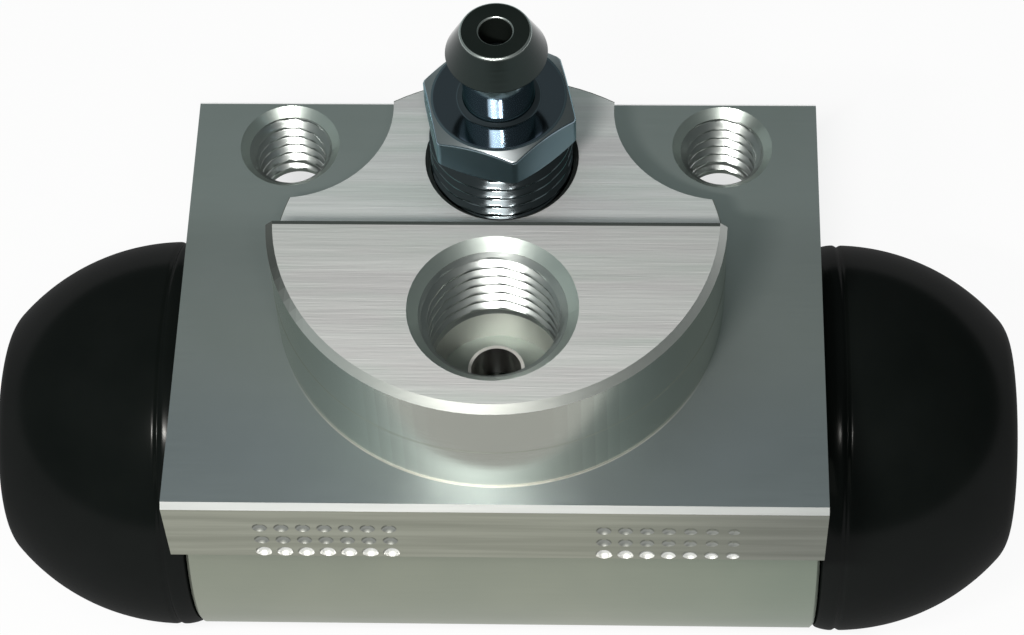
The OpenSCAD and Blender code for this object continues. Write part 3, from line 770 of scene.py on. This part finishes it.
for name, side in (("left", -1), ("right", 1)):
    outline = [ring(radius, height, full_turn(BOOT_STEPS)) for radius, height in boot_outline()]
    place = along_bore(side) @ Matrix.Translation((0, 0, HALF_LENGTH))
    boot = dress(skin(f"{name}_rubber_boot", outline, True, place), rubber)
    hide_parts(f"{name}_boot")
    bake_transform(boot)

    turns = (0, SPRING_TURNS // 2) if side < 0 else (SPRING_TURNS // 2, SPRING_TURNS)
    coil = skin(f"{name}_spring_half", spring_rows(*turns), False, Matrix.Translation((0, 0, BORE_Z)), 60)
    dress(coil, spring_steel)
    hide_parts("return_spring")
    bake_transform(coil)


# Floor, light and camera


def make_floor():
    """Square of floor at the object's lowest point."""
    reach = FLOOR_REACH * MM
    mesh = bpy.data.meshes.new("floor")
    corners = [(x * reach, y * reach, cad_low.z) for x, y in ((-1, -1), (1, -1), (1, 1), (-1, 1))]
    mesh.from_pydata(corners, [], [(0, 1, 2, 3)])
    floor = bpy.data.objects.new("floor", mesh)
    bpy.context.scene.collection.objects.link(floor)
    dress(floor, pale_floor())


def make_lamp(name, azimuth, elevation, size, share):
    """A lamp turned to the object that gives a share of the light on it."""
    data = bpy.data.lights.new(name, "AREA")
    data.shape = "ELLIPSE"
    data.size, data.size_y = (value * MM for value in size)
    data.energy = share * (math.pi * LAMP_DISTANCE * MM) ** 2
    data.color = LAMP_TINT
    lamp = bpy.data.objects.new(name, data)
    turn = Matrix.Rotation(math.radians(azimuth), 4, "Z")
    tilt = Matrix.Rotation(math.radians(90 - elevation), 4, "X")
    lamp.matrix_world = turn @ tilt @ Matrix.Translation((0, 0, LAMP_DISTANCE * MM))
    bpy.context.scene.collection.objects.link(lamp)


def make_world():
    """Plain studio room, brighter on the left."""
    world = bpy.data.worlds.new("studio")
    bpy.context.scene.world = world
    world.use_nodes = True
    tree = world.node_tree
    background = tree.nodes["Background"]
    background.inputs["Color"].default_value = SKY_TINT
    direction = tree.nodes.new("ShaderNodeTexCoord")
    parts = tree.nodes.new("ShaderNodeSeparateXYZ")
    fade = tree.nodes.new("ShaderNodeMapRange")
    fade.interpolation_type = "SMOOTHSTEP"
    for key, value in (("From Min", -1.0), ("From Max", 1.0), ("To Min", SKY_LEFT), ("To Max", SKY_RIGHT)):
        fade.inputs[key].default_value = value
    tree.links.new(direction.outputs["Generated"], parts.inputs[0])
    tree.links.new(parts.outputs[0], fade.inputs["Value"])
    tree.links.new(fade.outputs[0], background.inputs["Strength"])


def make_camera():
    """Camera of the photograph, from its place and its three angles."""
    yaw, pitch, roll = (math.radians(a) for a in (CAMERA_YAW, CAMERA_PITCH, CAMERA_ROLL))
    data = bpy.data.cameras.new("camera")
    data.sensor_fit = "HORIZONTAL"
    data.sensor_width = SENSOR_WIDTH
    data.lens = FOCAL_PIXELS * SENSOR_WIDTH / IMAGE_WIDTH
    data.clip_start = CAMERA_NEAR * MM
    camera = bpy.data.objects.new("camera", data)
    facing = Matrix.Rotation(yaw, 4, "Z") @ Matrix.Rotation(math.pi / 2 + pitch, 4, "X")
    place = Matrix.Translation([value * MM for value in CAMERA_PLACE])
    camera.matrix_world = place @ facing @ Matrix.Rotation(roll, 4, "Z")
    bpy.context.scene.collection.objects.link(camera)
    bpy.context.scene.camera = camera


make_floor()
make_lamp("key", KEY_AZIMUTH, KEY_ELEVATION, KEY_SIZE, KEY_SHARE)
make_lamp("upper", UPPER_AZIMUTH, UPPER_ELEVATION, UPPER_SIZE, UPPER_SHARE)
make_lamp("fill", FILL_AZIMUTH, FILL_ELEVATION, FILL_SIZE, FILL_SHARE)
make_world()
make_camera()
bpy.context.scene.view_settings.view_transform = "Standard"
